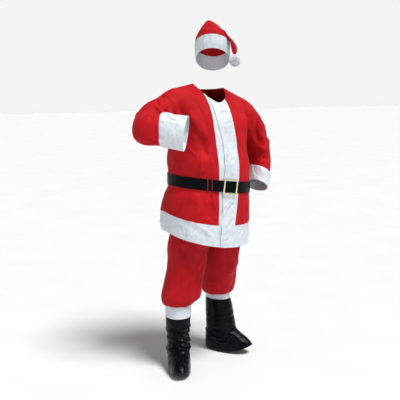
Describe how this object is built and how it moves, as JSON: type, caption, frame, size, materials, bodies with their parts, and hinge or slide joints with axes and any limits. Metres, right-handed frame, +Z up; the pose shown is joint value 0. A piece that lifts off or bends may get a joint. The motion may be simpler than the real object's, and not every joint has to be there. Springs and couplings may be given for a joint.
{
  "type": "santa suit",
  "caption": "Worn santa suit, hollow and posed: red jacket with white satin bands and cuffs, black belt and buckle, red trousers, black boot covers, and a red hat with a pompom.",
  "frame": {"origin": "between the wearer's shoulders, 1.45 m above the floor that the boot covers stand just clear of, on the jacket's middle", "axes": "+Z up, the suit faces -Y, +X towards the wearer's left side"},
  "size_m": [0.7893, 0.4806, 1.8055],
  "materials": {
    "red_cloth": "soft brushed cloth, faint sheen",
    "white_satin": "glossy satin",
    "black_strap": "glossy imitation leather",
    "black_vinyl": "glossy vinyl, wrinkled",
    "pale_gold": "pale gold, polished",
    "white_fur": "fluffy pile"
  },
  "bodies": {
    "root": {"belt_loop_inner": "red_cloth", "belt_loop_outer": "red_cloth", "belt_strap": "black_strap", "boot_band_left": "white_satin", "boot_band_right": "white_satin", "boot_cover_left": "black_vinyl", "boot_cover_right": "black_vinyl", "buckle": "pale_gold", "cuff_left": "white_satin", "cuff_right": "white_satin", "front_band_left": "white_satin", "front_band_right": "white_satin", "hat_band": "white_satin", "hat_cone": "red_cloth", "hat_pompom": "white_fur", "hem_band": "white_satin", "jacket_back": "red_cloth", "jacket_front_left": "red_cloth", "jacket_front_right": "red_cloth", "sleeve_left": "red_cloth", "sleeve_right": "red_cloth", "trousers_left": "red_cloth", "trousers_right": "red_cloth"}
  },
  "joints": []
}
